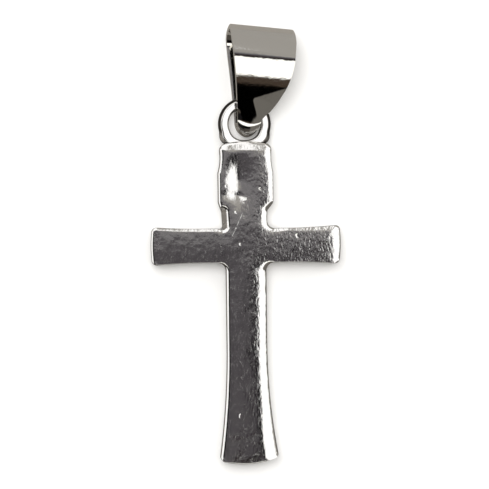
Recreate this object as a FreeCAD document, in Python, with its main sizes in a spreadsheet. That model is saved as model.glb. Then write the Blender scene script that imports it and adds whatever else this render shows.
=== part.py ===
"""A polished silver cross pendant with a soldered loop and a loose folded bail, lying on its back.

Frame: millimetres, +Z up, +Y from the foot of the cross to its head. The origin is where the middle of
the crossbar meets the middle of the stem, on the back face that the pendant lies on.
"""

import FreeCAD, Part
import math
import os
import Sketcher

# Lengths in millimetres, angles in degrees. A height or reach is measured from the origin, and the
# bail's own sizes from the centre of its lower bend.
DRIVING_SIZES = {
    "cross_thickness": 2.0,
    "front_rounding": 0.4,
    "back_rounding": 0.25,
    "corner_radius": 0.45,
    "crotch_radius": 0.45,
    "arm_half_height": 1.45,
    "arm_flare_start": 3.6,
    "arm_corner_reach": 7.95,
    "arm_end_half_height": 1.63,
    "arm_flare_radius": 52.0,
    "arm_end_radius": 11.0,
    "stem_half_width": 1.7,
    "stem_flare_start": 8.4,
    "stem_flare_radius": 60.0,
    "foot_half_width": 2.48,
    "foot_corner_reach": 18.15,
    "foot_end_radius": 7.1,
    "neck_half_width": 1.8,
    "neck_top_half_width": 1.88,
    "neck_top": 2.95,
    "head_half_width": 2.33,
    "head_flank_bottom": 3.8,
    "head_flank_top": 6.2,
    "head_waist_radius": 6.0,
    "brow_half_width": 2.25,
    "brow_height": 8.5,
    "head_top_radius": 8.0,
    "loop_wire_diameter": 0.86,
    "loop_outer_diameter": 4.6,
    "loop_centre_height": 10.3,
    "bail_sheet": 0.45,
    "bail_length": 9.36,
    "bail_depth": 3.5,
    "bail_bend_radius": 1.0,
    "bail_front_radius": 9.0,
    "bail_skew": 7.0,
    "bail_turn": 6.0,
    "bail_bend_x": 0.33,
    "bail_bend_height": 10.2,
    "fold_right": 2.9,
    "fold_left": 2.35,
    "plan_top": 8.8,
    "shoulder_radius": 8.36,
    "taper_right": 2.06,
    "taper_height": 2.31,
    "taper_radius": 7.8,
    "tip_right": 0.968,
    "tip_left": 0.908,
    "tip_drop": 0.2,
    "tip_radius": 0.95,
    "band_half_width": 3.5,
    "waste_half_width": 4.5,
    "waste_bottom": 1.5,
    "waste_top": 9.5,
}

SHEET_NAME = "Sizes"
TOLERANCE = 1e-4
STRAIGHT = None
OUTWARDS, INWARDS = 1, -1


def formula(term):
    """The expression for a term such as '-arm_half_height'."""
    sign = "-" if term.startswith("-") else ""
    return f"{sign}{SHEET_NAME}.{term.lstrip('-')}"


def value_of(sheet, term):
    """The number that a term such as '-arm_half_height' stands for."""
    value = float(getattr(sheet, term.lstrip("-")))
    return -value if term.startswith("-") else value


def make_sheet(doc):
    """The sheet of driving sizes, one aliased cell for each."""
    sheet = doc.addObject("Spreadsheet::Sheet", SHEET_NAME)
    for row, (alias, value) in enumerate(DRIVING_SIZES.items(), start=1):
        sheet.set(f"A{row}", alias)
        sheet.set(f"B{row}", str(value))
        sheet.setAlias(f"B{row}", alias)
    doc.recompute()
    return sheet


def new_body(doc, name):
    body = doc.addObject("PartDesign::Body", name)
    body.Label = name
    return body


def origin_plane(body, role):
    """One of a body's own three origin planes."""
    return next(f for f in body.Origin.OriginFeatures if f.Role == role)


def new_sketch(body, name, role):
    sketch = body.newObject("Sketcher::SketchObject", name)
    sketch.AttachmentSupport = (origin_plane(body, role), "")
    sketch.MapMode = "FlatFace"
    return sketch


def bind(sketch, kind, where, value, expression):
    """Add a dimension to a sketch and tie it to its expression."""
    index = sketch.addConstraint(Sketcher.Constraint(kind, *where, value))
    sketch.setExpression(f"Constraints[{index}]", expression)


def add_arc(sketch, centre, radius, first, last):
    """Add an arc that turns left from one angle to another."""
    circle = Part.Circle(centre, FreeCAD.Vector(0, 0, 1), radius)
    return sketch.addGeometry(Part.ArcOfCircle(circle, first, last), False)


def add_arc_between(sketch, start, end, radius):
    """Add an arc of under half a turn that turns left from start to end."""
    chord = end - start
    across = FreeCAD.Vector(-chord.y, chord.x, 0).normalize()
    centre = (start + end) * 0.5 + across * math.sqrt(radius**2 - (chord.Length / 2) ** 2)
    first = math.atan2(start.y - centre.y, start.x - centre.x)
    last = math.atan2(end.y - centre.y, end.x - centre.x)
    return add_arc(sketch, centre, radius, first, last)


def draw_outline(sketch, sheet, corners, joins):
    """A closed outline, anticlockwise, with every corner and radius bound to its cell.

    corners holds (x term, y term). joins holds, for the edge that follows each corner, STRAIGHT or
    (radius cell, OUTWARDS or INWARDS), the way that the edge bows. The corners' points are returned.
    """
    points = [FreeCAD.Vector(value_of(sheet, x), value_of(sheet, y), 0) for x, y in corners]
    edges = []
    for start, end, join in zip(points, points[1:] + points[:1], joins):
        if join is STRAIGHT:
            edges.append((sketch.addGeometry(Part.LineSegment(start, end), False), 1, 2))
            continue
        cell, bow = join
        radius = value_of(sheet, cell)
        if bow == OUTWARDS:
            edges.append((add_arc_between(sketch, start, end, radius), 1, 2))
        else:
            edges.append((add_arc_between(sketch, end, start, radius), 2, 1))
    for (edge, _, last), (after, first, _) in zip(edges, edges[1:] + edges[:1]):
        sketch.addConstraint(Sketcher.Constraint("Coincident", edge, last, after, first))
    for (edge, first, _), (x, y), join in zip(edges, corners, joins):
        for kind, term in (("DistanceX", x), ("DistanceY", y)):
            bind(sketch, kind, (-1, 1, edge, first), value_of(sheet, term), formula(term))
        if join is not STRAIGHT:
            bind(sketch, "Radius", (edge,), value_of(sheet, join[0]), formula(join[0]))
    return points


def mirrored_outline(side, top_join, foot_join):
    """Corners and joins of a whole outline from its right-hand side, listed upwards."""
    corners = [(x, y) for x, y, _ in side] + [(f"-{x}", y) for x, y, _ in reversed(side)]
    upward = [join for _, _, join in side[:-1]]
    return corners, upward + [top_join] + upward[::-1] + [foot_join]


def upright_edges(shape, spots):
    """Names of the upright straight edges that stand on any of the spots."""
    names = []
    for number, edge in enumerate(shape.Edges, start=1):
        first, last = edge.Vertexes[0].Point, edge.Vertexes[-1].Point
        upright = math.hypot(first.x - last.x, first.y - last.y) < TOLERANCE
        if upright and any(math.hypot(first.x - s.x, first.y - s.y) < TOLERANCE for s in spots):
            names.append(f"Edge{number}")
    return names


def level_edges(shape, level):
    """Names of the edges that lie wholly at one height."""
    names = []
    for number, edge in enumerate(shape.Edges, start=1):
        box = edge.BoundBox
        if abs(box.ZMin - level) < TOLERANCE and abs(box.ZMax - level) < TOLERANCE:
            names.append(f"Edge{number}")
    return names


def add_fillet(doc, body, name, base, edges, radius_cell):
    fillet = body.newObject("PartDesign::Fillet", name)
    fillet.Base = (base, edges)
    fillet.setExpression("Radius", formula(radius_cell))
    doc.recompute()
    return fillet


def make_cross(doc, sheet):
    """The cast cross, rounded front and back, and the wire loop soldered on its head."""
    body = new_body(doc, "cross_with_loop")
    arm_flare = ("arm_flare_radius", INWARDS)
    side = [
        ("foot_half_width", "-foot_corner_reach", ("stem_flare_radius", INWARDS)),
        ("stem_half_width", "-stem_flare_start", STRAIGHT),
        ("stem_half_width", "-arm_half_height", STRAIGHT),
        ("arm_flare_start", "-arm_half_height", arm_flare),
        ("arm_corner_reach", "-arm_end_half_height", ("arm_end_radius", OUTWARDS)),
        ("arm_corner_reach", "arm_end_half_height", arm_flare),
        ("arm_flare_start", "arm_half_height", STRAIGHT),
        ("neck_half_width", "arm_half_height", STRAIGHT),
        ("neck_top_half_width", "neck_top", STRAIGHT),
        ("head_half_width", "head_flank_bottom", STRAIGHT),
        ("head_half_width", "head_flank_top", ("head_waist_radius", INWARDS)),
        ("brow_half_width", "brow_height", STRAIGHT),
    ]
    ends = ("head_top_radius", OUTWARDS), ("foot_end_radius", OUTWARDS)
    corners, joins = mirrored_outline(side, *ends)
    sketch = new_sketch(body, "cross_outline", "XY_Plane")
    points = draw_outline(sketch, sheet, corners, joins)
    plate = body.newObject("PartDesign::Pad", "cross_plate")
    plate.Profile = sketch
    plate.setExpression("Length", formula("cross_thickness"))
    doc.recompute()

    crotches, outer = [], []
    for point, (x, y) in zip(points, corners):
        if y.lstrip("-") == "arm_half_height" and x.lstrip("-") != "arm_flare_start":
            crotches.append(point)
        elif y.lstrip("-") in ("foot_corner_reach", "arm_end_half_height", "brow_height", "head_flank_bottom"):
            outer.append(point)
    edges = upright_edges(plate.Shape, crotches)
    last = add_fillet(doc, body, "crotch_fillets", plate, edges, "crotch_radius")
    edges = upright_edges(last.Shape, outer)
    last = add_fillet(doc, body, "corner_fillets", last, edges, "corner_radius")
    edges = level_edges(last.Shape, sheet.cross_thickness)
    last = add_fillet(doc, body, "front_edge", last, edges, "front_rounding")
    edges = level_edges(last.Shape, 0)
    add_fillet(doc, body, "back_edge", last, edges, "back_rounding")

    loop = body.newObject("PartDesign::AdditiveTorus", "loop")
    across = f"{formula('loop_outer_diameter')} - {formula('loop_wire_diameter')}"
    loop.setExpression("Radius1", f"({across}) / 2")
    loop.setExpression("Radius2", f"{formula('loop_wire_diameter')} / 2")
    loop.AttachmentSupport = (origin_plane(body, "XY_Plane"), "")
    loop.MapMode = "FlatFace"
    loop.setExpression("AttachmentOffset.Base.y", formula("loop_centre_height"))
    loop.setExpression("AttachmentOffset.Base.z", f"{formula('cross_thickness')} / 2")
    return body


def draw_band_contour(sketch, sheet, inset, inset_term):
    """One closed contour of the bail's band, a given depth inside its outer face.

    The sketch runs from the lower bend up to the fold, and from the floor up to the front. The contour
    is a flat back, a round fold, and a bowed front that runs straight into the bend.
    """
    fold_reach = sheet.bail_length - sheet.bail_bend_radius - sheet.bail_depth / 2
    first_lean = (sheet.bail_depth - 2 * sheet.bail_bend_radius) / fold_reach
    quarter = math.pi / 2
    fold_centre = FreeCAD.Vector(fold_reach, sheet.bail_depth / 2, 0)
    bow_centre = FreeCAD.Vector(fold_reach, sheet.bail_depth - sheet.bail_front_radius, 0)
    bend_centre = FreeCAD.Vector(0, sheet.bail_bend_radius, 0)
    fold_radius = sheet.bail_depth / 2 - inset
    bow_radius = sheet.bail_front_radius - inset
    bend_radius = sheet.bail_bend_radius - inset
    fold = add_arc(sketch, fold_centre, fold_radius, -quarter, quarter)
    bow = add_arc(sketch, bow_centre, bow_radius, quarter, quarter + first_lean)
    bend = add_arc(sketch, bend_centre, bend_radius, quarter + first_lean, 3 * quarter)
    ends = {piece: (sketch.getPoint(piece, 1), sketch.getPoint(piece, 2)) for piece in (fold, bow, bend)}
    front = sketch.addGeometry(Part.LineSegment(ends[bow][1], ends[bend][0]), False)
    back = sketch.addGeometry(Part.LineSegment(ends[bend][1], ends[fold][0]), False)

    chain = [back, fold, bow, front, bend]
    for piece, after in zip(chain, chain[1:] + chain[:1]):
        sketch.addConstraint(Sketcher.Constraint("Tangent", piece, 2, after, 1))
    sketch.addConstraint(Sketcher.Constraint("Vertical", fold, 3, bow, 3))
    sketch.addConstraint(Sketcher.Constraint("PointOnObject", bend, 3, -2))
    depth, bend_size = formula("bail_depth"), formula("bail_bend_radius")
    reach = f"{formula('bail_length')} - {bend_size} - {depth} / 2"
    bind(sketch, "DistanceX", (-1, 1, fold, 3), fold_reach, reach)
    bind(sketch, "DistanceY", (-1, 1, fold, 3), fold_centre.y, f"{depth} / 2")
    bind(sketch, "DistanceY", (-1, 1, bend, 3), bend_centre.y, bend_size)
    bind(sketch, "Radius", (fold,), fold_radius, f"{depth} / 2{inset_term}")
    bind(sketch, "Radius", (bow,), bow_radius, f"{formula('bail_front_radius')}{inset_term}")
    bind(sketch, "Radius", (bend,), bend_radius, f"{bend_size}{inset_term}")


def make_bail(doc, sheet):
    """The bail: a closed band of sheet, trimmed to the tapering strip that it was folded from.

    The strip leans a little sideways from its back to its front, and its right side is cut fuller.
    """
    body = new_body(doc, "tapered_bail")
    section = new_sketch(body, "band_section", "YZ_Plane")
    draw_band_contour(section, sheet, 0.0, "")
    draw_band_contour(section, sheet, sheet.bail_sheet, f" - {formula('bail_sheet')}")
    band = body.newObject("PartDesign::Pad", "band")
    band.Profile = section
    band.SideType = "Symmetric"
    band.setExpression("Length", f"2 * {formula('band_half_width')}")

    waste = new_sketch(body, "trimmed_away", "XY_Plane")
    strip = [
        ("tip_right", "-tip_drop", ("taper_radius", INWARDS)),
        ("taper_right", "taper_height", ("shoulder_radius", OUTWARDS)),
        ("fold_right", "plan_top", STRAIGHT),
        ("-fold_left", "plan_top", STRAIGHT),
        ("-tip_left", "-tip_drop", ("tip_radius", OUTWARDS)),
    ]
    draw_outline(waste, sheet, [(x, y) for x, y, _ in strip], [join for _, _, join in strip])
    rim = [
        ("waste_half_width", "-waste_bottom"),
        ("waste_half_width", "waste_top"),
        ("-waste_half_width", "waste_top"),
        ("-waste_half_width", "-waste_bottom"),
    ]
    draw_outline(waste, sheet, rim, [STRAIGHT] * len(rim))
    slant = f"tan({formula('bail_skew')} * 1 deg)"
    waste.setExpression("AttachmentOffset.Base.x", f"-{slant} * {formula('bail_depth')} / 2")
    trim = body.newObject("PartDesign::Pocket", "trim_to_strip")
    trim.Profile = waste
    trim.Reversed = False
    trim.UseCustomVector = True
    trim.AlongSketchNormal = True
    trim.Direction = FreeCAD.Vector(math.tan(math.radians(sheet.bail_skew)), 0, 1)
    trim.setExpression("Length", f"{formula('bail_depth')} + {formula('bail_sheet')}")

    body.setExpression("Placement.Base.x", formula("bail_bend_x"))
    body.setExpression("Placement.Base.y", formula("bail_bend_height"))
    body.setExpression("Placement.Rotation.Angle", f"-{formula('bail_turn')}")
    return body


def check_document(doc, nodes):
    """Stop if any object failed, or any piece is missing, invalid or more than one solid."""
    for item in doc.Objects:
        if {"Invalid", "Error"} & set(item.State):
            raise RuntimeError(f"{item.Name} did not build: {item.State}")
        if item.TypeId == "Sketcher::SketchObject" and item.solve() != 0:
            raise RuntimeError(f"{item.Name} is not solved")
    for node in nodes:
        shape = node.Shape
        if shape.isNull() or not shape.isValid() or len(shape.Solids) != 1:
            raise RuntimeError(f"{node.Label} is not one valid solid")


def main():
    doc = FreeCAD.newDocument("cross_pendant")
    sheet = make_sheet(doc)
    nodes = [make_cross(doc, sheet), make_bail(doc, sheet)]
    doc.recompute()
    check_document(doc, nodes)
    os.makedirs("parts", exist_ok=True)
    for node in nodes:
        node.Shape.exportStep(f"parts/{node.Label}.step")
        box = node.Shape.BoundBox
        size = f"{box.XLength:.2f} x {box.YLength:.2f} x {box.ZLength:.2f} mm"
        print(f"{node.Label}: {size}, {node.Shape.Volume:.2f} mm3")


main()
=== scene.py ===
# %% [markdown]
# A small polished silver cross pendant, lying on its back on pale paper. It has two loose pieces: the
# cast cross with its loop soldered on, and the bail, a strip of silver sheet folded through the loop.
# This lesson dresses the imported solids: each piece is modelled finely enough to mirror a studio, then
# given its silver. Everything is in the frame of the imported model, with +Y towards the bail and +Z
# away from the paper. Blender works in metres, and the tables below are in millimetres.

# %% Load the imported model
import math

import bpy
import numpy as np
from mathutils import Matrix, Vector
from mathutils.geometry import delaunay_2d_cdt


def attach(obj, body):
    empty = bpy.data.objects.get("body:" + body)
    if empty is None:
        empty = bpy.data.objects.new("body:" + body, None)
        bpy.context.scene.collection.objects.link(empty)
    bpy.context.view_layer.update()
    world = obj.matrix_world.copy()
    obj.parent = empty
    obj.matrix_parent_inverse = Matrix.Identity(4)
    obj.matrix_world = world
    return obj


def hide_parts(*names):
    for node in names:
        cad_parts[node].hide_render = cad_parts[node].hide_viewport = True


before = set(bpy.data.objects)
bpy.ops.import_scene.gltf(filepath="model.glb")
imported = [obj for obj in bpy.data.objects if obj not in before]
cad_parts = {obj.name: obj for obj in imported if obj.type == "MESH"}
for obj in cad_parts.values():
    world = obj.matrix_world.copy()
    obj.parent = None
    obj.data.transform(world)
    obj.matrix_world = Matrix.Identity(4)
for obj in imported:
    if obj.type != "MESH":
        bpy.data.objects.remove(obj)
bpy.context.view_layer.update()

MM = 0.001
scene = bpy.context.scene
print("packed nodes:", ", ".join(sorted(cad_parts)))

# %% [markdown]
# Three small helpers serve the whole lesson. A colour is written as the hex value that a screen shows,
# and shaders want linear light, so one function converts it. Another adds any node, sets it and links
# it, so that a tree reads from top to bottom as a list of steps. The third adds one step of arithmetic,
# because both geometry and materials need many of them.

# %% Helpers for colours and nodes
def linear(hex_colour):
    """The linear RGBA of an sRGB hex colour."""
    channels = [int(hex_colour[i : i + 2], 16) / 255 for i in (1, 3, 5)]
    bent = [c / 12.92 if c <= 0.04045 else ((c + 0.055) / 1.055) ** 2.4 for c in channels]
    return (*bent, 1.0)


def add_node(tree, kind, inputs=None, **settings):
    """Add a node, set its properties, and link or fill its inputs, named or numbered."""
    node = tree.nodes.new(kind)
    for name, value in settings.items():
        setattr(node, name, value)
    for key, value in (inputs or {}).items():
        if isinstance(value, bpy.types.NodeSocket):
            tree.links.new(value, node.inputs[key])
        else:
            node.inputs[key].default_value = value
    return node


def calc(tree, operation, *values):
    """One step of arithmetic on numbers or sockets."""
    return add_node(tree, "ShaderNodeMath", dict(enumerate(values)), operation=operation).outputs[0]


print("silver grey in linear light:", [round(c, 3) for c in linear("#9d9a95")[:3]])

# %% [markdown]
# The camera looks almost straight down, a little from the left, so that the bail's open side shows. A
# long lens, as far away as a real one stands, keeps the cross nearly free of perspective, as in a
# product photo.
# The photo's frame is 489 pixels square, and the crossbar spans 190 of them.

# %% Camera
FRAME_PIXELS = 489
CROSSBAR_PIXELS = 189.5
CROSSBAR_LENGTH = 16.04 * MM
CAMERA_DISTANCE = 220 * MM
CAMERA_LEAN = math.radians(3.0)
CAMERA_ROLL = math.radians(0.7)
SENSOR_WIDTH = 36.0
CROSSING_PIXEL = Vector((246.0, 245.5))
CROSSING_HEIGHT = 1.6 * MM

frame_width = CROSSBAR_LENGTH * FRAME_PIXELS / CROSSBAR_PIXELS
pixel = frame_width / FRAME_PIXELS
right = Vector((math.cos(CAMERA_LEAN), 0, math.sin(CAMERA_LEAN)))
back = Vector((-math.sin(CAMERA_LEAN), 0, math.cos(CAMERA_LEAN)))
up = back.cross(right)
turn = Matrix.Rotation(-CAMERA_ROLL, 3, back)
right, up = turn @ right, turn @ up
middle = FRAME_PIXELS / 2
aim = Vector((0, 0, CROSSING_HEIGHT))
aim -= right * (CROSSING_PIXEL.x - middle) * pixel
aim += up * (CROSSING_PIXEL.y - middle) * pixel

lens = bpy.data.cameras.new("product_lens")
lens.sensor_width = SENSOR_WIDTH
lens.lens = SENSOR_WIDTH * CAMERA_DISTANCE / frame_width
lens.clip_start = 10 * MM
camera = bpy.data.objects.new("camera", lens)
scene.collection.objects.link(camera)
axes = Matrix((right, up, back)).transposed().to_4x4()
camera.matrix_world = Matrix.Translation(aim + back * CAMERA_DISTANCE) @ axes
scene.camera = camera
print(f"one pixel is {pixel / MM:.4f} mm, the lens is {lens.lens:.0f} mm")

# %% [markdown]
# Polished silver has no look of its own: it shows the room. The room here is a light tent, written as
# the world's colour in each direction, which mirrors more cleanly than lamps do. Overhead hangs the
# camera, which makes the flat face dark, and its knobs and edges break that dark up a little. White
# sheets stand to the right, the left and the upper left, and a bright window slit lies beyond the camera,
# towards the foot. Past the window the tent is open, and falls to brown and black. The walls between them
# are mid grey.

# %% The light tent
WALL_HEX = "#9f9c97"
BACKDROP_HEX = "#f6f5f3"
# Each sheet, shape or opening: its span sideways and along, half its soft edge, its colour and its
# strength. The angles are degrees from overhead, positive to the right and towards the bail. Later rows
# cover earlier ones.
TENT = (
    ("open_front", (-180, 180), (-180, -12), 3.0, "#000000", 1.0),
    ("table_edge", (-60, 60), (-100, -47), 2.0, "#4a4641", 1.0),
    ("low_right_wall", (3.8, 75), (-100, -23), 2.6, "#6b6863", 1.0),
    ("window_sill", (-60, 8), (-30.5, -24), 0.8, "#41372f", 1.0),
    ("window", (-30, 60), (-26, -9.6), 0.5, "#fffffa", 1.25),
    ("right_sheet", (10, 82), (-22, 64), 1.0, "#ffffff", 1.2),
    ("left_shade", (-47, -14), (-60, 30), 1.5, "#161516", 1.0),
    ("left_sheet", (-86, -49), (-60, 60), 2.0, "#ffffff", 1.15),
    ("upper_left_sheet", (-46, 3.3), (11, 86), 0.5, "#ffffff", 1.15),
    ("camera_top", (-16, 2.6), (3.4, 8.6), 0.7, "#6f6d6f", 1.0),
    ("camera_body", (-16, 9.6), (-9.2, 3.6), 0.7, "#4d4a4d", 1.0),
    ("camera_front", (-16, 9.6), (0.7, 4.2), 0.6, "#787678", 1.0),
    ("camera_grip", (-16, 9.6), (-9.2, -6.0), 0.6, "#2b2524", 1.0),
    ("camera_side", (4.4, 9.6), (-9.2, 0.2), 0.5, "#1b191b", 1.0),
)
print("light tent:", ", ".join(row[0] for row in TENT))

# %% Build the tent
# The camera isn't one flat grey: its knobs and edges make light and dark spots of this size in degrees.
CAMERA_SIDEWAYS, CAMERA_ALONG, CAMERA_SOFT = (-16, 9.6), (-9.2, 5.0), 1.0
KNOB_SIZE, KNOB_DETAIL, KNOB_CONTRAST = 1.6, 2.0, 1.9


def angle_mask(tree, angle, low, high, soft):
    """1 where an angle in degrees lies between low and high, with soft edges."""
    ramps = [
        add_node(tree, "ShaderNodeMapRange", {0: angle, 1: a, 2: b}, interpolation_type="SMOOTHSTEP")
        for a, b in ((low - soft, low + soft), (high + soft, high - soft))
    ]
    return calc(tree, "MULTIPLY", ramps[0].outputs[0], ramps[1].outputs[0])


world = bpy.data.worlds.new("light_tent")
scene.world = world
world.use_nodes = True
tent = world.node_tree
tent.nodes.clear()
direction = add_node(tent, "ShaderNodeTexCoord").outputs["Generated"]
parts = add_node(tent, "ShaderNodeSeparateXYZ", {0: direction})
sideways = calc(tent, "DEGREES", calc(tent, "ARCSINE", parts.outputs[0]))
along = calc(tent, "DEGREES", calc(tent, "ARCTAN2", parts.outputs[1], parts.outputs[2]))
colour = linear(WALL_HEX)
for name, across, up_and_down, soft, hex_colour, strength in TENT:
    masks = angle_mask(tent, sideways, *across, soft), angle_mask(tent, along, *up_and_down, soft)
    shade = [c * strength for c in linear(hex_colour)[:3]] + [1.0]
    covered = {0: calc(tent, "MULTIPLY", *masks), 6: colour, 7: shade}
    colour = add_node(tent, "ShaderNodeMix", covered, data_type="RGBA", label=name).outputs[2]
across_camera = angle_mask(tent, sideways, *CAMERA_SIDEWAYS, CAMERA_SOFT)
along_camera = angle_mask(tent, along, *CAMERA_ALONG, CAMERA_SOFT)
on_camera = calc(tent, "MULTIPLY", across_camera, along_camera)
knob_scale = 1 / math.radians(KNOB_SIZE)
knob_inputs = {"Vector": direction, "Scale": knob_scale, "Detail": KNOB_DETAIL}
knobs = add_node(tent, "ShaderNodeTexNoise", knob_inputs).outputs[0]
shine = calc(tent, "MULTIPLY_ADD", knobs, KNOB_CONTRAST, 1 - KNOB_CONTRAST / 2)
dappled = add_node(tent, "ShaderNodeVectorMath", {0: colour, 3: shine}, operation="SCALE").outputs[0]
covered = {0: on_camera, 6: colour, 7: dappled}
colour = add_node(tent, "ShaderNodeMix", covered, data_type="RGBA").outputs[2]
seen = add_node(tent, "ShaderNodeLightPath").outputs["Is Camera Ray"]
covered = {0: seen, 6: colour, 7: linear(BACKDROP_HEX)}
backdrop = add_node(tent, "ShaderNodeMix", covered, data_type="RGBA")
light = add_node(tent, "ShaderNodeBackground", {"Color": backdrop.outputs[2], "Strength": 1.0})
add_node(tent, "ShaderNodeOutputWorld", {"Surface": light.outputs[0]})
scene.view_settings.view_transform = "Standard"
print("the tent has", len(tent.nodes), "nodes")

# %% [markdown]
# The eye sees the pendant on plain pale paper, with a soft shadow under it. One broad lamp lights the
# paper, and it is hidden from reflections, because the tent already gives the silver all that it shows.
# What the silver mirrors of the table is darker than the paper, as if the pendant stood on a small
# white sheet on a grey bench.

# %% Paper and its lamp
PAPER_SIZE = 1.2
PAPER_HEX, BENCH_HEX = "#fbfaf8", "#8f8b85"
LAMP_SIZE, LAMP_POWER = 0.30, 1.4
LAMP_PLACE = Vector((-0.08, 0.06, 0.45))

half = PAPER_SIZE / 2
paper_corners = [(-half, -half, 0), (half, -half, 0), (half, half, 0), (-half, half, 0)]
paper_mesh = bpy.data.meshes.new("paper")
paper_mesh.from_pydata(paper_corners, [], [(0, 1, 2, 3)])
paper = bpy.data.objects.new("paper", paper_mesh)
scene.collection.objects.link(paper)

matt_paper = bpy.data.materials.new("matt_paper")
matt_paper.use_nodes = True
tree = matt_paper.node_tree
tree.nodes.clear()
seen = add_node(tree, "ShaderNodeLightPath").outputs["Is Camera Ray"]
white = add_node(tree, "ShaderNodeBsdfDiffuse", {"Color": linear(PAPER_HEX)})
grey = add_node(tree, "ShaderNodeBsdfDiffuse", {"Color": linear(BENCH_HEX)})
both = add_node(tree, "ShaderNodeMixShader", {0: seen, 1: grey.outputs[0], 2: white.outputs[0]})
add_node(tree, "ShaderNodeOutputMaterial", {"Surface": both.outputs[0]})
paper_mesh.materials.append(matt_paper)

lamp = bpy.data.lights.new("broad_lamp", "AREA")
lamp.size = LAMP_SIZE
lamp.energy = LAMP_POWER
lamp_object = bpy.data.objects.new("broad_lamp", lamp)
lamp_object.location = LAMP_PLACE
lamp_object.rotation_euler = LAMP_PLACE.to_track_quat("Z", "Y").to_euler()
lamp_object.visible_glossy = False
scene.collection.objects.link(lamp_object)
print("paper and lamp are set")

# %% [markdown]
# The cross was cast and then buffed on a wheel, which leaves each edge rounded in its own way: broad
# and soft along the right side, narrow on the left, crisp where an edge faces the foot. A bevel gives
# one radius everywhere, so the outline is drawn first, as a table of corners joined by edges that bow
# a little, and each edge carries how soft its rounding is.

# %% Outline of the cross
# Each row: corner, x, y and its rounding, then for the edge that leaves it anticlockwise: how far it
# bows outwards, its softness at the start and at the end, how steep the face's crown is there, and the
# width of a filed slope outside the rounding.
CORNERS = (
    ("right_foot", 2.60, -17.90, 0.42, -0.055, 2.20, 1.36, 3.6, 0),
    ("right_shin", 1.92, -13.10, 0.0, -0.050, 1.36, 1.22, 3.6, 0),
    ("right_stem", 1.70, -8.40, 0.0, 0.0, 1.22, 1.16, 3.6, 0),
    ("lower_right_crotch", 1.70, -1.45, 0.70, 0.0, 0.07, 0.07, 1.0, 0),
    ("lower_right_arm", 3.60, -1.45, 0.0, -0.045, 0.07, 0.07, 1.0, 0),
    ("right_end_bottom", 7.88, -1.63, 0.46, 0.12, 1.00, 1.25, 3.0, 0),
    ("right_end_top", 7.95, 1.66, 0.40, -0.045, 0.80, 0.42, 1.3, 0),
    ("upper_right_arm", 3.60, 1.45, 0.0, 0.0, 0.42, 0.70, 1.3, 0),
    ("upper_right_crotch", 1.80, 1.45, 0.62, 0.0, 0.88, 0.88, 2.2, 0),
    ("right_neck", 1.83, 2.95, 0.40, 0.0, 0.88, 0.70, 2.2, 0),
    ("right_cheek", 2.36, 3.62, 0.42, 0.0, 0.68, 0.76, 2.2, 0),
    ("right_temple", 2.36, 6.20, 0.60, -0.11, 0.80, 1.00, 2.2, 0),
    ("right_brow", 2.30, 8.50, 0.55, 0.32, 0.45, 0.45, 1.0, 0),
    ("left_brow", -2.22, 8.50, 0.55, -0.15, 0.70, 0.60, 2.2, 0),
    ("left_temple", -2.30, 6.20, 0.60, 0.0, 0.56, 0.56, 2.2, 0),
    ("left_cheek", -2.30, 3.66, 0.42, 0.0, 0.56, 0.50, 2.2, 0),
    ("left_neck", -2.02, 2.85, 0.30, 0.0, 0.55, 0.55, 2.2, 0.36),
    ("upper_left_crotch", -1.94, 1.45, 0.26, 0.0, 0.50, 0.50, 1.3, 0),
    ("upper_left_arm", -3.60, 1.45, 0.0, -0.045, 0.50, 0.48, 1.3, 0),
    ("left_end_top", -7.92, 1.63, 0.40, 0.12, 0.50, 0.50, 2.5, 0),
    ("left_end_bottom", -7.93, -1.63, 0.42, -0.045, 0.07, 0.07, 1.0, 0),
    ("lower_left_arm", -3.60, -1.45, 0.0, 0.0, 0.07, 0.07, 1.0, 0),
    ("lower_left_crotch", -1.70, -1.45, 0.70, 0.0, 0.60, 0.58, 3.0, 0),
    ("left_stem", -1.70, -8.40, 0.0, -0.18, 0.58, 0.66, 3.0, 0),
    ("left_foot", -2.40, -18.20, 0.42, 0.42, 0.12, 0.12, 0.6, 0),
)
print("corners of the outline:", len(CORNERS))

# %% Trace the outline
OUTLINE_STEP = 0.08
# A corner is drawn with closer points than an edge, by this share, and with at least this many.
CORNER_SHARE, CORNER_STEPS = 0.6, 6
# An edge's heading is read over this share of it, and a cut of fewer mm than the second rounds nothing.
HEADING_SHARE, LEAST_CUT = 0.01, 0.001


def bowed(start, end, bow, share):
    """A point on an edge that bows outwards, to the right of its way round."""
    chord = end - start
    outward = Vector((chord.y, -chord.x)).normalized()
    return start + chord * share + outward * (4 * bow * share * (1 - share))


def corner_cuts(spots):
    """How far the rounding of each corner cuts back its two edges."""
    headings = []
    for i, row in enumerate(CORNERS):
        start, end = spots[i], spots[(i + 1) % len(spots)]
        leaving = bowed(start, end, row[4], HEADING_SHARE) - start
        arriving = end - bowed(start, end, row[4], 1 - HEADING_SHARE)
        headings.append((leaving, arriving))
    turns = [headings[i - 1][1].angle(headings[i][0]) for i in range(len(spots))]
    return [row[3] * math.tan(turning / 2) for row, turning in zip(CORNERS, turns)]


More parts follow.
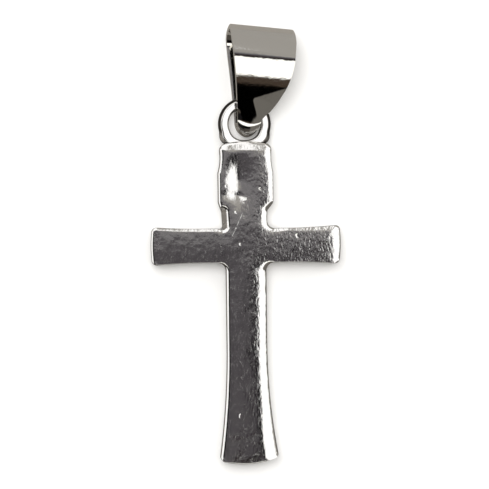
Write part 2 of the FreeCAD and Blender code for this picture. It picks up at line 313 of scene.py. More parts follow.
def trace_outline():
    """The outline as closely spaced points, with the softness, crown and filed slope of each."""
    spots = [Vector(row[1:3]) for row in CORNERS]
    cuts = corner_cuts(spots)
    points, finish = [], []
    for i, row in enumerate(CORNERS):
        rounding, bow = row[3:5]
        starts, ends = np.array([row[5], *row[7:]]), np.array([row[6], *row[7:]])
        start, end = spots[i], spots[(i + 1) % len(spots)]
        length = (end - start).length
        first, last = cuts[i] / length, 1 - cuts[(i + 1) % len(spots)] / length
        if cuts[i] > LEAST_CUT:
            before, earlier = CORNERS[i - 1], spots[i - 1]
            left_with = np.array(before[6:])
            enter = bowed(earlier, start, before[4], 1 - cuts[i] / (start - earlier).length)
            leave = bowed(start, end, bow, first)
            turning = (start - enter).angle(leave - start)
            weight = math.cos(turning / 2)
            steps = max(CORNER_STEPS, round(rounding * turning / (OUTLINE_STEP * CORNER_SHARE)))
            for k in range(steps):
                t = k / steps
                a, b, c = (1 - t) ** 2, 2 * weight * t * (1 - t), t**2
                points.append((enter * a + start * b + leave * c) / (a + b + c))
                finish.append(left_with + (starts - left_with) * t)
        steps = max(2, round(length * (last - first) / OUTLINE_STEP))
        for k in range(steps):
            t = k / steps
            points.append(bowed(start, end, bow, first + (last - first) * t))
            finish.append(starts + (ends - starts) * t)
    return np.array([(p.x, p.y) for p in points]), np.array(finish)


OUTLINE, FINISH = trace_outline()
print(f"outline: {len(OUTLINE)} points round {len(CORNERS)} corners")

# %% [markdown]
# What a mirror shows depends on slope, not on height, so the rounding is written as a lean in degrees
# at each distance in from the edge, and the height follows by adding up the leans. A softness of 2
# stretches the rounding to twice its width. At each point the edge that has taken most metal away wins,
# which mitres the corners as filing does. Two more shapes are buffed into the head: a facet along its
# top, and shallow hollows at its left that catch the light.

# %% Sizes of the face
THICKNESS = 2.0
# Distance in from the edge, and the lean there in degrees, for a softness of 1.
EDGE_LEAN = (
    (0.0, 74), (0.035, 52), (0.045, 41), (0.28, 24), (0.42, 6.5), (0.56, 1.2), (0.70, 0.3), (0.85, 0.0),
)
CROWN_REACH = 1.60
FILED_LEAN = 50.0
BACK_REACH, BACK_DROP, BACK_POWER = 0.40, 0.32, 2.5
# The facet along the top of the head starts softly, and has faded out this far below its start.
FACET_FROM_Y, FACET_LEAN, FACET_SOFT, FACET_FADE = 8.14, 16.0, 0.18, 2.0
# Each hollow: middle x and y, half its width and height, depth, and its turn in degrees.
HOLLOWS = (
    (-0.42, 5.45, 1.05, 2.05, 0.145, 3.0),
    (-0.92, 4.22, 1.05, 0.30, 0.040, -4.0),
)

LEAN_SAMPLES = 200
lean_insets = np.linspace(0, EDGE_LEAN[-1][0], LEAN_SAMPLES)
lean_slopes = np.tan(np.radians(np.interp(lean_insets, *zip(*EDGE_LEAN))))
lean_steps = np.diff(lean_insets) * (lean_slopes[1:] + lean_slopes[:-1]) / 2
lean_drops = np.append(np.cumsum(lean_steps[::-1])[::-1], 0.0)
print(f"rounding: {lean_drops[0]:.2f} mm deep where the softness is 1")

# %% Height of the face
FAR_AWAY = 99.0


def edge_drop(points):
    """How much the edges' rounding and the crown lower the face, and the distance to the outline."""
    order = np.argsort(points[:, 1])
    near = points[order]
    drop = np.zeros(len(points))
    inset = np.full(len(points), FAR_AWAY)
    spans = np.roll(OUTLINE, -1, axis=0) - OUTLINE
    after = np.roll(FINISH, -1, axis=0)
    for start, span, here, there in zip(OUTLINE, spans, FINISH, after):
        reach = max(CROWN_REACH, EDGE_LEAN[-1][0] * max(here[0], there[0]))
        low, high = sorted((start[1], start[1] + span[1]))
        a, b = np.searchsorted(near[:, 1], (low - reach, high + reach))
        if a == b:
            continue
        share = np.clip(((near[a:b] - start) @ span) / (span @ span), 0, 1)
        away = np.hypot(*(near[a:b] - start - share[:, None] * span).T)
        soft, crown, filed = (here + (there - here) * share[:, None]).T
        rounded = np.clip(away - filed, 0, None)
        taken = np.interp(rounded / soft, lean_insets, lean_drops) * soft
        into_crown = np.clip(CROWN_REACH - away, 0, None)
        taken += np.tan(np.radians(crown)) * into_crown**2 / (2 * CROWN_REACH)
        taken += math.tan(math.radians(FILED_LEAN)) * np.clip(filed - away, 0, None)
        drop[a:b] = np.maximum(drop[a:b], taken)
        inset[a:b] = np.minimum(inset[a:b], away)
    result = np.empty((2, len(points)))
    result[:, order] = drop, inset
    return result


def face_height(points):
    """Height of the front face."""
    drop, _ = edge_drop(points)
    beyond = points[:, 1] - FACET_FROM_Y
    ramp = np.where(beyond > -FACET_FADE, (beyond + np.sqrt(beyond**2 + FACET_SOFT**2)) / 2, 0)
    height = THICKNESS - drop - math.tan(math.radians(FACET_LEAN)) * ramp
    for x, y, wide, high, deep, turned in HOLLOWS:
        c, s = math.cos(math.radians(turned)), math.sin(math.radians(turned))
        dx, dy = points[:, 0] - x, points[:, 1] - y
        height -= deep * np.exp(-(((dx * c + dy * s) / wide) ** 2) - ((dy * c - dx * s) / high) ** 2)
    return height


def back_height(inset):
    """Height of the back's rounding above the paper, at a distance in from the outline."""
    share = np.clip((BACK_REACH - inset) / BACK_REACH, 0, 1)
    return BACK_DROP * (1 - np.sqrt(np.clip(1 - share**BACK_POWER, 0, 1)))


crossing = face_height(np.array([[0.0, 0.0]]))[0]
print(f"the face is {crossing:.2f} mm above the paper where the bars cross")

# %% [markdown]
# The body is built in strips. The side wall and the first part of each rounding follow the outline
# inwards as rings of quads, closely spaced where the slope is steep. Inside the last ring a
# triangulated field of points carries the rest of the face. The back needs only a coarse field.

# %% Points and triangles of the face
# How far each ring lies in from the outline, on the front and on the back.
RING_INSETS = (0.004, 0.012, 0.024, 0.04, 0.06, 0.085, 0.115, 0.15, 0.19, 0.235, 0.28, 0.33)
BACK_INSETS = (0.01, 0.05, 0.12, 0.22, 0.33)
FRONT_STEP, BACK_STEP = 0.105, 0.40
# The field stays clear of the last ring by this share of its step, which counts for no more than this.
CLEAR_SHARE, CLEAR_STEP = 0.5, 0.12
MERGE_DISTANCE = 1e-7


def inside(points, polygon):
    """True for each point inside a closed polygon."""
    crossings = np.zeros(len(points), bool)
    for (x0, y0), (x1, y1) in zip(polygon, np.roll(polygon, -1, axis=0)):
        if y0 != y1:
            level = (points[:, 1] > y0) != (points[:, 1] > y1)
            crossings ^= level & (points[:, 0] < (x1 - x0) * (points[:, 1] - y0) / (y1 - y0) + x0)
    return crossings


def field_points(ring, last_inset, step):
    """A staggered field of points inside the last ring."""
    low, high = OUTLINE.min(axis=0), OUTLINE.max(axis=0)
    rows = []
    for n, y in enumerate(np.arange(low[1], high[1], step * math.sqrt(3) / 2)):
        xs = np.arange(low[0] + (n % 2) * step / 2, high[0], step)
        rows.append(np.stack([xs, np.full(len(xs), y)], axis=1))
    points = np.concatenate(rows)
    points = points[inside(points, ring)]
    return points[edge_drop(points)[1] > last_inset + min(step, CLEAR_STEP) * CLEAR_SHARE]


def fill_ring(ring, points):
    """Triangles between a ring and the field of points inside it."""
    count = len(ring)
    flat = [Vector(p) for p in ring] + [Vector(p) for p in points]
    border = [(i, (i + 1) % count) for i in range(count)]
    out = delaunay_2d_cdt(flat, border, [list(range(count))], 1, MERGE_DISTANCE)
    faces, originals = out[2], out[3]
    return [[originals[v][0] for v in face] for face in faces]


print("rings on the front and on the back:", len(RING_INSETS), len(BACK_INSETS))


# %% Mesh of the cross
def cross_body():
    """The cast cross without its loop, as one closed mesh."""
    tangent = np.roll(OUTLINE, -1, axis=0) - np.roll(OUTLINE, 1, axis=0)
    tangent /= np.linalg.norm(tangent, axis=1)[:, None]
    inward = np.stack([-tangent[:, 1], tangent[:, 0]], axis=1)
    count = len(OUTLINE)
    rings, heights = [], []
    for inset in (*BACK_INSETS[::-1], 0.0):
        rings.append(OUTLINE + inward * inset)
        heights.append(np.full(count, float(back_height(inset))))
    rim = face_height(OUTLINE)
    for share in (0.5, 1.0):
        rings.append(OUTLINE)
        heights.append(BACK_DROP + (rim - BACK_DROP) * share)
    for inset in RING_INSETS:
        rings.append(OUTLINE + inward * inset)
        heights.append(face_height(rings[-1]))
    vertices = [(x, y, z) for ring, height in zip(rings, heights) for (x, y), z in zip(ring, height)]
    faces = []
    for level in range(len(rings) - 1):
        a, b = level * count, (level + 1) * count
        faces += [(a + i, a + (i + 1) % count, b + (i + 1) % count, b + i) for i in range(count)]
    fields = (0, BACK_INSETS[-1], BACK_STEP), (len(rings) - 1, RING_INSETS[-1], FRONT_STEP)
    for number, last_inset, step in fields:
        ring = rings[number]
        points = field_points(ring, last_inset, step)
        level = face_height(points) if number else back_height(edge_drop(points)[1])
        start, base = len(vertices), number * count
        vertices += [(x, y, z) for (x, y), z in zip(points, level)]
        names = [base + i for i in range(count)] + [start + i for i in range(len(points))]
        for face in fill_ring(ring, points):
            corners = [names[v] for v in face]
            faces.append(corners if number else corners[::-1])
    mesh = bpy.data.meshes.new("cast_cross")
    mesh.from_pydata([Vector(v) * MM for v in vertices], [], faces)
    mesh.validate()
    return mesh


body = bpy.data.objects.new("cast_cross_body", cross_body())
scene.collection.objects.link(body)
print(f"body of the cross: {len(body.data.polygons)} faces")

# %% [markdown]
# The loop and the bail are both a section that follows a path, wire for one and sheet for the other.
# That could be modelled by hand, but Geometry Nodes' Curve to Mesh makes it from a few sizes, which stay
# easy to change. Both trees start and end in the same way, so small helpers take that up. Each tree runs
# on a carrier object, and its result is kept as a plain mesh. The input for the silver is still empty
# then, because the silvers are made last.

# %% Helpers for Geometry Nodes
def new_tree(name, sizes, vectors=()):
    """A Geometry Nodes tree with a geometry input and named inputs for its sizes."""
    tree = bpy.data.node_groups.new(name, "GeometryNodeTree")
    tree.interface.new_socket("Geometry", in_out="INPUT", socket_type="NodeSocketGeometry")
    for label in sizes:
        tree.interface.new_socket(label, in_out="INPUT", socket_type="NodeSocketFloat")
    for label in vectors:
        tree.interface.new_socket(label, in_out="INPUT", socket_type="NodeSocketVector")
    tree.interface.new_socket("Silver", in_out="INPUT", socket_type="NodeSocketMaterial")
    tree.interface.new_socket("Geometry", in_out="OUTPUT", socket_type="NodeSocketGeometry")
    return tree, add_node(tree, "NodeGroupInput").outputs


def finish_tree(tree, geometry, silver):
    """End a tree by realizing its instances and setting its silver."""
    smooth = add_node(tree, "GeometryNodeSetShadeSmooth", {0: geometry})
    real = add_node(tree, "GeometryNodeRealizeInstances", {0: smooth.outputs[0]})
    dressed = add_node(tree, "GeometryNodeSetMaterial", {0: real.outputs[0], "Material": silver})
    add_node(tree, "NodeGroupOutput", {0: dressed.outputs[0]})


def here(tree):
    """The x, y and z of each point."""
    position = add_node(tree, "GeometryNodeInputPosition").outputs[0]
    return add_node(tree, "ShaderNodeSeparateXYZ", {0: position}).outputs


def smooth_step(tree, value, low, high):
    """0 at low and 1 at high, with a smooth rise between."""
    inputs = {0: value, 1: low, 2: high}
    return add_node(tree, "ShaderNodeMapRange", inputs, interpolation_type="SMOOTHSTEP").outputs[0]


def grow(carrier, tree, values, name):
    """Run a tree on a carrier object with the given inputs, and return the result as a plain mesh."""
    modifier = carrier.modifiers.new(name, "NODES")
    modifier.node_group = tree
    for item in tree.interface.items_tree:
        if item.item_type == "SOCKET" and item.in_out == "INPUT" and item.name in values:
            modifier[item.identifier] = values[item.name]
    graph = bpy.context.evaluated_depsgraph_get()
    mesh = bpy.data.meshes.new_from_object(carrier.evaluated_get(graph))
    mesh.name = name
    bpy.data.objects.remove(carrier)
    return mesh


print("helpers for Geometry Nodes are ready")

# %% [markdown]
# The loop is heavy wire, bent to a ring, filed flat on top and soldered to the head, so that its two
# legs run straight into the shoulders. A circle is the path here, and a four-sided section with round
# corners is the filed wire. The legs are straightened and the whole ring is tipped a few degrees on its
# solder afterwards, by moving points.

# %% The soldered loop
LOOP_SIZES = {
    "Ring radius": 1.86, "Centre x": 0.02, "Centre y": 10.30, "Centre height": 1.02,
    "Section round": 0.11, "Leg top": 9.75, "Leg foot": 8.70, "Pivot x": 0.9,
}
LEG_SPREAD, LOOP_TIP = 0.17, 5.5
# The filed wire's section: distance out from the ring's line, and height.
SECTION = ((-0.40, 0.37), (0.13, 0.37), (0.47, -0.16), (-0.53, -0.30))
RING_STEPS, FILLET_STEPS, SECTION_STEPS = 180, 9, 64
print(f"the loop is {2 * LOOP_SIZES['Ring radius']:.2f} mm across at the middle of its wire")

# %% Tree of the loop
loop_tree, given = new_tree("soldered_loop", [*LOOP_SIZES, "Leg spread", "Tip"])
ring = {"Resolution": RING_STEPS, "Radius": given["Ring radius"]}
circle = add_node(loop_tree, "GeometryNodeCurvePrimitiveCircle", ring)
section = add_node(loop_tree, "GeometryNodeCurvePrimitiveQuadrilateral", mode="POINTS")
for number, (outwards, height) in enumerate(SECTION):
    section.inputs[f"Point {number + 1}"].default_value = (outwards * MM, -height * MM, 0)
corners = {0: section.outputs[0], "Count": FILLET_STEPS, "Radius": given["Section round"]}
rounded = add_node(loop_tree, "GeometryNodeFilletCurve", corners, mode="POLY").outputs[0]
spaced = add_node(loop_tree, "GeometryNodeResampleCurve", {0: rounded, "Count": SECTION_STEPS})
bent = add_node(loop_tree, "GeometryNodeCurveToMesh", {0: circle.outputs[0], 1: spaced.outputs[0]})
place = here(loop_tree)
y_now = calc(loop_tree, "ADD", place[1], given["Centre y"])
on_legs = smooth_step(loop_tree, y_now, given["Leg top"], given["Leg foot"])
spread = calc(loop_tree, "MULTIPLY", on_legs, given["Leg spread"])
wider = calc(loop_tree, "MULTIPLY", place[0], calc(loop_tree, "ADD", spread, 1.0))
x_now = calc(loop_tree, "ADD", wider, given["Centre x"])
tipped = calc(loop_tree, "MULTIPLY", calc(loop_tree, "SUBTRACT", given["Pivot x"], x_now), given["Tip"])
z_now = calc(loop_tree, "ADD", calc(loop_tree, "ADD", place[2], given["Centre height"]), tipped)
moved = add_node(loop_tree, "ShaderNodeCombineXYZ", {0: x_now, 1: y_now, 2: z_now}).outputs[0]
shaped = add_node(loop_tree, "GeometryNodeSetPosition", {0: bent.outputs[0], "Position": moved})
finish_tree(loop_tree, shaped.outputs[0], given["Silver"])
print("tree of the loop:", len(loop_tree.nodes), "nodes")

# %% Grow the loop
carrier = bpy.data.objects.new("loop_carrier", bpy.data.meshes.new("loop_carrier"))
scene.collection.objects.link(carrier)
loop_values = {label: value * MM for label, value in LOOP_SIZES.items()}
loop_values.update({"Leg spread": LEG_SPREAD, "Tip": math.tan(math.radians(LOOP_TIP))})
loop_mesh = grow(carrier, loop_tree, loop_values, "soldered_loop")
print(f"loop: {len(loop_mesh.polygons)} faces")

# %% [markdown]
# Solder makes the loop and the cross one piece of metal, so they become one mesh. A Boolean union with
# the exact solver does that, and its seam is shaded smooth, as solder leaves it.

# %% Join the loop to the cross
loop = bpy.data.objects.new("soldered_loop", loop_mesh)
scene.collection.objects.link(loop)
solder = body.modifiers.new("solder", "BOOLEAN")
solder.operation = "UNION"
solder.solver = "EXACT"
solder.object = loop
graph = bpy.context.evaluated_depsgraph_get()
joined = bpy.data.meshes.new_from_object(body.evaluated_get(graph))
joined.name = "cast_cross_with_loop"
joined.shade_smooth()
bpy.data.objects.remove(body)
bpy.data.objects.remove(loop)
cross = bpy.data.objects.new("cast_cross_with_loop", joined)
scene.collection.objects.link(cross)
print(f"cross and loop: {len(joined.polygons)} faces in one mesh")

# %% [markdown]
# The bail is a strip of silver sheet, cut to a taper and folded into a closed drop. Its bright and dark
# bands are a record of its lean: each band is one part of the tent. So its side view is written as a
# chain of arcs, each with the lean that it reaches and its radius, worked both ways from the crown, the
# highest line of the front. The last arc of each chain finds its own radius, so that both land on the
# paper, and the flat back joins them.

# %% Side view of the bail
BAIL_SHEET = 0.45
BAIL_DEPTH = 3.5
CROWN_Y = 5.90
PATH_STEP, FLAT_STEP = 0.04, 0.1
# The last arc of each chain turns on to this lean, face down on the paper.
FACE_DOWN = 180.0
# Each arc: the lean in degrees that it ends at, and its radius, negative where it bends back.
DOWN_FRONT = (
    (0.3, 11.0), (4.8, 0.9), (7.0, 4.6), (14.9, 10.9), (17.3, 20.5), (19.6, 16.5), (19.7, 1330.0),
    (16.5, -6.0), (9.0, -1.6), (18.0, 1.0), (60.0, 1.3),
)
OVER_FOLD = ((8.5, 4.75), (20.0, 3.1), (38.0, 2.2), (60.0, 1.6), (90.0, 1.15))


def arc_chain(arcs, way):
    """Points and leans of the outer face from the crown down to the paper, towards way * Y."""
    spot, lean = Vector((CROWN_Y, BAIL_DEPTH)), 0.0
    chain = []
    for end, radius in (*arcs, (FACE_DOWN, None)):
        end = math.radians(end)
        radius = radius or spot.y / (1 + math.cos(lean))
        steps = max(2, math.ceil(abs(radius * (end - lean)) / PATH_STEP))
        first, start = lean, spot
        for k in range(1, steps + 1):
            lean = first + (end - first) * k / steps
            run = radius * (math.sin(lean) - math.sin(first))
            fall = radius * (math.cos(first) - math.cos(lean))
            spot = Vector((start.x + way * run, start.y - fall))
            chain.append((spot, lean))
    return chain


def middle_of_sheet(chain, way):
    """The chain moved in by half the sheet's thickness."""
    outward = [Vector((way * math.sin(lean), math.cos(lean))) for _, lean in chain]
    return [spot - normal * BAIL_SHEET / 2 for (spot, _), normal in zip(chain, outward)]


down, over = arc_chain(DOWN_FRONT, -1), arc_chain(OVER_FOLD, 1)
back_start, back_end = down[-1][0].x, over[-1][0].x
back_length = back_end - back_start
flat_steps = round(back_length / FLAT_STEP)
flat_ys = [back_start + back_length * k / flat_steps for k in range(1, flat_steps)]
flat_back = [Vector((y, BAIL_SHEET / 2)) for y in flat_ys]
crown_point = Vector((CROWN_Y, BAIL_DEPTH - BAIL_SHEET / 2))
middle_line = [*middle_of_sheet(down, -1), *flat_back, *middle_of_sheet(over[::-1], 1), crown_point]
next_points = [*middle_line[1:], middle_line[0]]
sheet_length = sum((b - a).length for a, b in zip(middle_line, next_points))
print(f"the bail's sheet is {sheet_length:.1f} mm long when laid flat")

# %% Path of the bail
curve = bpy.data.curves.new("bail_path", "CURVE")
curve.dimensions = "3D"
spline = curve.splines.new("POLY")
spline.points.add(len(middle_line) - 1)
spline.use_cyclic_u = True
for point, spot in zip(spline.points, middle_line):
    point.co = (0, spot.x * MM, spot.y * MM, 1)
bail_path = bpy.data.objects.new("bail_path", curve)
scene.collection.objects.link(bail_path)
tip_y = min(spot.x for spot, _ in down)
fold_y = max(spot.x for spot, _ in over)
print(f"bail: from {tip_y:.2f} to {fold_y:.2f} mm, {len(middle_line)} points on its path")

# %% [markdown]
# Geometry Nodes sweeps a flat band along that path. Then each point moves sideways to where the strip's
# two edges lie at that distance along it, which two curves tell. The strip leans to the right as it
# rises, its tip is rounded, and its lower right corner was pressed in a little, which shows as a grey
# triangle. Sheet is cut, not cast, so its faces meet crisply along the edges.

# %% Sizes of the strip
BAIL_SIZES = {
    "Sheet": BAIL_SHEET, "Depth": BAIL_DEPTH, "Lowest": tip_y, "Highest": fold_y,
    "Tip radius": 1.45, "Press soft": 0.10, "Press blend": 0.45, "Tip from": 1.5, "Tip to": 0.2,
    "Tip rise": 0.3,
}
BAIL_SKEW, BAIL_TURN = math.radians(7.0), math.radians(-6.0)
# The pressed corner gives by this share of the distance into it.
BAIL_NUMBERS = {"Skew": math.tan(BAIL_SKEW), "Press": 0.22}
BAIL_BEND = Vector((0.33, 10.2, 0.0)) * MM
# Faces that meet at more than this angle keep a crisp edge.
CRISP_ANGLE = math.radians(25)
# The band is swept this far to each side, and its edges move from there, at most WIDEST mm out.
HALF_BAND, WIDEST = 1 * MM, 3.5
PATH_POINTS, BAND_CUTS = 460, 31
# The tip narrows to no less than the root of this. Between these heights the pressing sets in, so that
# only the front is pressed.
LEAST_NARROWING = 0.02
FRONT_FROM, FRONT_FULL = 0.9 * MM, 1.3 * MM
# How far each edge of the strip lies from its own middle line, by the share of the bail's length.
LEFT_EDGE = (
    (0.0, 0.84), (0.11, 0.95), (0.20, 1.06), (0.33, 1.29), (0.55, 1.70), (0.75, 2.10), (0.93, 2.38),
    (1.0, 2.36),
)
RIGHT_EDGE = (
    (0.0, 0.90), (0.11, 1.02), (0.18, 1.32), (0.26, 1.78), (0.36, 2.30), (0.50, 2.83), (0.64, 3.10),
    (0.76, 3.12), (0.92, 3.08), (1.0, 2.90),
)
# The pressed corner lies below one line and to the right of another. Each has a point on it, and the
# direction that leads into the corner.
PRESS_TOP = ((0.10, 2.31), (0.375, -0.927))
PRESS_LEFT = ((0.0, 2.25), (0.92, 0.39))
widest_share, widest_right = max(RIGHT_EDGE, key=lambda row: row[1])
print(f"the strip reaches {widest_right} mm to the right at {widest_share:.0%} of its length")


# %% Helpers for the strip
def edge_curve(tree, share, rows):
    """Distance of an edge, in metres, from a Float Curve over the share of the length."""
    node = add_node(tree, "ShaderNodeFloatCurve", {"Value": share})
    points = node.mapping.curves[0].points
    while len(points) < len(rows):
        points.new(0.5, 0.5)
    for point, (x, y) in zip(points, rows):
        point.location = (x, y / WIDEST)
        point.handle_type = "AUTO"
    node.mapping.update()
    return calc(tree, "MULTIPLY", node.outputs[0], WIDEST * MM)


def beyond_line(tree, x, y, line):
    """Distance beyond a line, in the direction that it gives."""
    (x0, y0), (dx, dy) = line
    across = calc(tree, "MULTIPLY", calc(tree, "SUBTRACT", x, x0 * MM), dx)
    return calc(tree, "MULTIPLY_ADD", calc(tree, "SUBTRACT", y, y0 * MM), dy, across)


print("helpers for the strip are ready")

# %% Tree of the strip
bail_tree, given = new_tree("folded_strip", [*BAIL_SIZES, *BAIL_NUMBERS], ("Bend place", "Turn"))
spaced = add_node(bail_tree, "GeometryNodeResampleCurve", {0: given["Geometry"], "Count": PATH_POINTS})
band_sizes = {"Width": 2 * HALF_BAND, "Height": given["Sheet"]}
band = add_node(bail_tree, "GeometryNodeCurvePrimitiveQuadrilateral", band_sizes).outputs[0]
fine = add_node(bail_tree, "GeometryNodeSubdivideCurve", {0: band, "Cuts": BAND_CUTS})
swept = add_node(bail_tree, "GeometryNodeCurveToMesh", {0: spaced.outputs[0], 1: fine.outputs[0]})
place = here(bail_tree)
whole_length = {0: place[1], 1: given["Lowest"], 2: given["Highest"]}
share = add_node(bail_tree, "ShaderNodeMapRange", whole_length).outputs[0]
left = edge_curve(bail_tree, share, LEFT_EDGE)
span = calc(bail_tree, "ADD", left, edge_curve(bail_tree, share, RIGHT_EDGE))
across = calc(bail_tree, "DIVIDE", place[0], HALF_BAND)
near_tip = smooth_step(bail_tree, place[1], given["Tip from"], given["Tip to"])
tip_rise = calc(bail_tree, "MULTIPLY", calc(bail_tree, "MULTIPLY", across, across), given["Tip rise"])
y_now = calc(bail_tree, "MULTIPLY_ADD", tip_rise, near_tip, place[1])
below = calc(bail_tree, "MINIMUM", calc(bail_tree, "DIVIDE", place[1], given["Tip radius"]), 0.0)
round_end = calc(bail_tree, "SUBTRACT", 1.0, calc(bail_tree, "MULTIPLY", below, below))
narrowing = calc(bail_tree, "SQRT", calc(bail_tree, "MAXIMUM", round_end, LEAST_NARROWING))
to_right = calc(bail_tree, "MULTIPLY_ADD", across, 0.5, 0.5)
side = calc(bail_tree, "SUBTRACT", calc(bail_tree, "MULTIPLY", span, to_right), left)
side = calc(bail_tree, "MULTIPLY", side, narrowing)
lift = calc(bail_tree, "MULTIPLY_ADD", given["Depth"], -0.5, place[2])
leaning = calc(bail_tree, "MULTIPLY_ADD", lift, given["Skew"], side)
under_top = beyond_line(bail_tree, side, place[1], PRESS_TOP)
past_left = beyond_line(bail_tree, side, place[1], PRESS_LEFT)
beyond = calc(bail_tree, "SMOOTH_MIN", under_top, past_left, given["Press blend"])
beyond = calc(bail_tree, "MAXIMUM", beyond, 0.0)
squared = calc(bail_tree, "MULTIPLY", beyond, beyond)
eased = calc(bail_tree, "DIVIDE", squared, calc(bail_tree, "ADD", beyond, given["Press soft"]))
on_front = smooth_step(bail_tree, place[2], FRONT_FROM, FRONT_FULL)
pressed = calc(bail_tree, "MULTIPLY", calc(bail_tree, "MULTIPLY", eased, given["Press"]), on_front)
z_now = calc(bail_tree, "SUBTRACT", place[2], pressed)
moved = add_node(bail_tree, "ShaderNodeCombineXYZ", {0: leaning, 1: y_now, 2: z_now}).outputs[0]
shaped = add_node(bail_tree, "GeometryNodeSetPosition", {0: swept.outputs[0], "Position": moved})
lying = {0: shaped.outputs[0], "Translation": given["Bend place"], "Rotation": given["Turn"]}
settled = add_node(bail_tree, "GeometryNodeTransform", lying)
finish_tree(bail_tree, settled.outputs[0], given["Silver"])
print("tree of the strip:", len(bail_tree.nodes), "nodes")

# %% Grow the bail
bail_values = {label: value * MM for label, value in BAIL_SIZES.items()}
bail_values.update(BAIL_NUMBERS)
bail_values.update({"Bend place": BAIL_BEND, "Turn": (0.0, 0.0, BAIL_TURN)})
bail_mesh = grow(bail_path, bail_tree, bail_values, "folded_bail")
bail_mesh.set_sharp_from_angle(angle=CRISP_ANGLE)
bail = bpy.data.objects.new("folded_bail", bail_mesh)
scene.collection.objects.link(bail)
print(f"bail: {len(bail_mesh.polygons)} faces")

# %% [markdown]
# Silver is a pale, faintly warm metal with hardly any colour of its own. What tells worked silver from a
# perfect mirror is its skin. Each unevenness of it is a height in micrometres, added to the others and
# turned into a bump. Noise in object space serves best, because its size is then a real one, and it
# stays on the piece. Both silvers need the same few steps, so those are helpers.

# %% Helpers for silver
MICROMETRE = 1e-6


def millimetres(tree):
    """Object coordinates in millimetres."""
    metres = add_node(tree, "ShaderNodeTexCoord").outputs["Object"]
    return add_node(tree, "ShaderNodeVectorMath", {0: metres, 3: 1 / MM}, operation="SCALE").outputs[0]


def uneven(tree, place, features, micrometres, stretch=(1, 1, 1), turned=0.0, detail=2.0):
    """A wavy height: size of its features in mm, height in micrometres, stretch, turn in degrees."""
    scale = [1 / (features * s) for s in stretch]
    turning = (0, 0, math.radians(turned))
    spread = {"Vector": place, "Rotation": turning, "Scale": scale}
    mapped = add_node(tree, "ShaderNodeMapping", spread).outputs[0]
    waves = {"Vector": mapped, "Scale": 1.0, "Detail": detail}
    noise = add_node(tree, "ShaderNodeTexNoise", waves).outputs[0]
    return calc(tree, "MULTIPLY_ADD", noise, micrometres * 2, -micrometres)


def mark_height(tree, place, start, end, width, micrometres):
    """A scratch, or a pit if it is short: its ends and half width in mm, its depth in micrometres."""
    begin, run = Vector((*start, 0)), Vector((*end, 0)) - Vector((*start, 0))
    flat = add_node(tree, "ShaderNodeVectorMath", {0: place, 1: (1, 1, 0)}, operation="MULTIPLY")
    away = add_node(tree, "ShaderNodeVectorMath", {0: flat.outputs[0], 1: begin}, operation="SUBTRACT")
    reach = {0: away.outputs[0], 1: run / run.length_squared}
    share = add_node(tree, "ShaderNodeVectorMath", reach, operation="DOT_PRODUCT").outputs["Value"]
    share = add_node(tree, "ShaderNodeClamp", {0: share}).outputs[0]
    nearest = add_node(tree, "ShaderNodeVectorMath", {0: run, 3: share}, operation="SCALE").outputs[0]
    gap = {0: away.outputs[0], 1: nearest}
    distance = add_node(tree, "ShaderNodeVectorMath", gap, operation="DISTANCE").outputs["Value"]
    profile = {0: distance, 1: 0.0, 2: width, 3: -micrometres, 4: 0.0}
    return add_node(tree, "ShaderNodeMapRange", profile, interpolation_type="SMOOTHSTEP").outputs[0]


def bumped(tree, micrometres):
    """The normal that a height in micrometres gives."""
    relief = {"Strength": 1.0, "Distance": MICROMETRE, "Height": micrometres}
    return add_node(tree, "ShaderNodeBump", relief).outputs[0]


print("helpers for silver are ready")

# %% [markdown]
# The cross is cast sterling silver, buffed on a wheel. The wheel leaves it slightly wavy, so reflections
# break into mottle where they meet, most of all on the head and along the right, which were buffed less
# evenly. Wear leaves hairlines, fine scuffs, pits and a few scratches. Where the rounded edges turn down
# steeply, they are painted dark grey and made rougher, a painted shade that draws a thin dark line round
# them.

# %% Wear of the cast silver
# Each unevenness: the size of its features in mm, and its height in micrometres.
WHEEL_WAVE, SKIN_WAVE, MOTTLE = (1.3, 9.0), (0.42, 3.2), (0.25, 6.3)
HAIRLINES, SCUFFS = (0.07, 0.6), (0.12, 0.5)
# Where the wavy skin is strongest: each pair is the place in mm where it is absent and where it is full.
HEAD_FROM_Y, HEAD_TO_Y, HEAD_FROM_X = (1.0, 3.0), (8.3, 7.7), (-0.9, 0.2)
RIGHT_FROM_X, RIGHT_FROM_Y, FACET_CALM = (-0.6, 1.8), (-24.0, -3.0), (8.9, 8.2)
LEAST_WORN = 0.15
# Each mark: its two ends, half its width in mm, and its depth in micrometres.
MARKS = (
    ((-0.22, 2.76), (-0.83, 1.48), 0.07, 4.0),
    ((-0.83, 1.48), (-1.16, 0.81), 0.05, 3.0),
    ((-0.85, 2.84), (-0.84, 2.80), 0.13, 15.0),
    ((-1.65, 5.05), (-1.63, 5.00), 0.11, 14.0),
    ((1.22, 4.80), (1.27, 4.75), 0.14, 14.0),
    ((-0.51, 0.14), (-0.49, 0.08), 0.11, 12.0),
    ((4.30, 0.85), (4.36, 0.70), 0.15, 16.0),
    ((-0.68, -14.30), (-0.70, -14.50), 0.11, 8.0),
    ((-0.72, -16.80), (-0.66, -18.00), 0.07, 2.0),
)
print("scratches and pits:", len(MARKS))

# %% Buffed cast silver
# The second colour is painted shade for the steep edges, not a colour of the metal.
CAST_HEX, EDGE_SHADE_HEX = "#f3f1ee", "#3d3936"
POLISH_ROUGHNESS, SCUFF_ROUGHNESS, EDGE_SHADE_ROUGHNESS = 0.07, 0.12, 0.30
# The painted edge shade sets in and fades out again as the upward part of the surface's normal falls
# through these.
EDGE_SHADE_FROM, EDGE_SHADE_TO = (0.70, 0.55), (0.05, 0.32)
# Scuffs show where their height in micrometres rises through these.
SCUFF_HEIGHTS = (-0.05, 0.30)

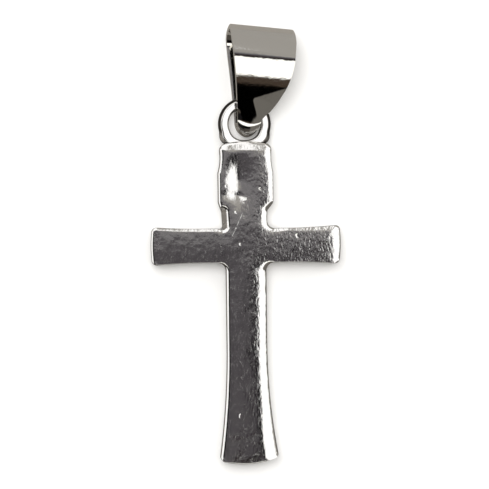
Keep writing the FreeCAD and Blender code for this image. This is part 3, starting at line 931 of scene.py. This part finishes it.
cast = bpy.data.materials.new("buffed_cast_silver")
cast.use_nodes = True
tree = cast.node_tree
tree.nodes.clear()
place = millimetres(tree)
xyz = add_node(tree, "ShaderNodeSeparateXYZ", {0: place}).outputs
height = uneven(tree, place, *WHEEL_WAVE, detail=1.0)
height = calc(tree, "ADD", height, uneven(tree, place, *SKIN_WAVE))
below_facet = smooth_step(tree, xyz[1], *HEAD_TO_Y)
on_head = calc(tree, "MULTIPLY", smooth_step(tree, xyz[1], *HEAD_FROM_Y), below_facet)
on_head = calc(tree, "MULTIPLY", on_head, smooth_step(tree, xyz[0], *HEAD_FROM_X))
right_side = smooth_step(tree, xyz[0], *RIGHT_FROM_X)
on_right = calc(tree, "MULTIPLY", right_side, smooth_step(tree, xyz[1], *RIGHT_FROM_Y))
worn = calc(tree, "MAXIMUM", on_head, on_right)
calm = smooth_step(tree, xyz[1], *FACET_CALM)
worn = calc(tree, "MULTIPLY_ADD", worn, 1 - LEAST_WORN, LEAST_WORN)
worn = calc(tree, "MULTIPLY", worn, calm)
mottle = uneven(tree, place, *MOTTLE, stretch=(0.72, 1.5, 1), turned=12.0, detail=2.5)
height = calc(tree, "MULTIPLY_ADD", mottle, worn, height)
hair = uneven(tree, place, *HAIRLINES, stretch=(1, 22, 1), turned=6.0, detail=3.0)
height = calc(tree, "MULTIPLY_ADD", hair, calm, height)
for start, end, width, deep in MARKS:
    height = calc(tree, "ADD", height, mark_height(tree, place, start, end, width, deep))
# Painted shade: where the edges turn down steeply, the silver's colour is mixed towards a dark grey.
facing = add_node(tree, "ShaderNodeTexCoord").outputs["Normal"]
upright = add_node(tree, "ShaderNodeSeparateXYZ", {0: facing}).outputs[2]
above_wall = smooth_step(tree, upright, *EDGE_SHADE_TO)
painted_edge_shade = calc(tree, "MULTIPLY", smooth_step(tree, upright, *EDGE_SHADE_FROM), above_wall)
scuffs = uneven(tree, place, *SCUFFS, stretch=(1, 2.6, 1), turned=-10.0, detail=3.0)
scuffed = smooth_step(tree, scuffs, *SCUFF_HEIGHTS)
rough = calc(tree, "MULTIPLY_ADD", scuffed, SCUFF_ROUGHNESS, POLISH_ROUGHNESS)
rough = calc(tree, "MULTIPLY_ADD", painted_edge_shade, EDGE_SHADE_ROUGHNESS, rough)
colours = {0: painted_edge_shade, 6: linear(CAST_HEX), 7: linear(EDGE_SHADE_HEX)}
colour = add_node(tree, "ShaderNodeMix", colours, data_type="RGBA").outputs[2]
finish = {"Base Color": colour, "Metallic": 1.0, "Roughness": rough, "Normal": bumped(tree, height)}
shader = add_node(tree, "ShaderNodeBsdfPrincipled", finish)
add_node(tree, "ShaderNodeOutputMaterial", {0: shader.outputs[0]})
print("cast silver:", len(tree.nodes), "nodes")

# %% [markdown]
# The bail is rolled sterling sheet, folded over a rod and polished. Rolling leaves metal flatter than
# casting does, so it mirrors the tent in clean bands, and only a faint wave across the sheet frays their
# edges. It is the smoother and the brighter of the two silvers.

# %% Rolled sheet silver
SHEET_HEX, SHEET_ROUGHNESS = "#f6f4f0", 0.05
SHEET_WAVE, SHEET_RIPPLE = (0.8, 1.5), (0.22, 0.9)

sheet = bpy.data.materials.new("rolled_sheet_silver")
sheet.use_nodes = True
tree = sheet.node_tree
tree.nodes.clear()
place = millimetres(tree)
wave = uneven(tree, place, *SHEET_WAVE, stretch=(2.0, 1, 1), detail=1.0)
ripple = uneven(tree, place, *SHEET_RIPPLE, stretch=(1.4, 1, 1), detail=1.0)
relief = bumped(tree, calc(tree, "ADD", wave, ripple))
polish = {"Metallic": 1.0, "Roughness": SHEET_ROUGHNESS, "Normal": relief}
shader = add_node(tree, "ShaderNodeBsdfPrincipled", {"Base Color": linear(SHEET_HEX), **polish})
add_node(tree, "ShaderNodeOutputMaterial", {0: shader.outputs[0]})

for piece, material in ((cross, cast), (bail, sheet)):
    piece.data.materials.clear()
    piece.data.materials.append(material)
print("sheet silver:", len(tree.nodes), "nodes")

# %% [markdown]
# Each piece stands for its imported solid, and rides on the one body that they share.

# %% Hand over to the frame
PIECES = ((cross, "cross_with_loop", "cast_silver"), (bail, "tapered_bail", "sheet_silver"))
for piece, node, slot in PIECES:
    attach(piece, "root")
    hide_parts(node)
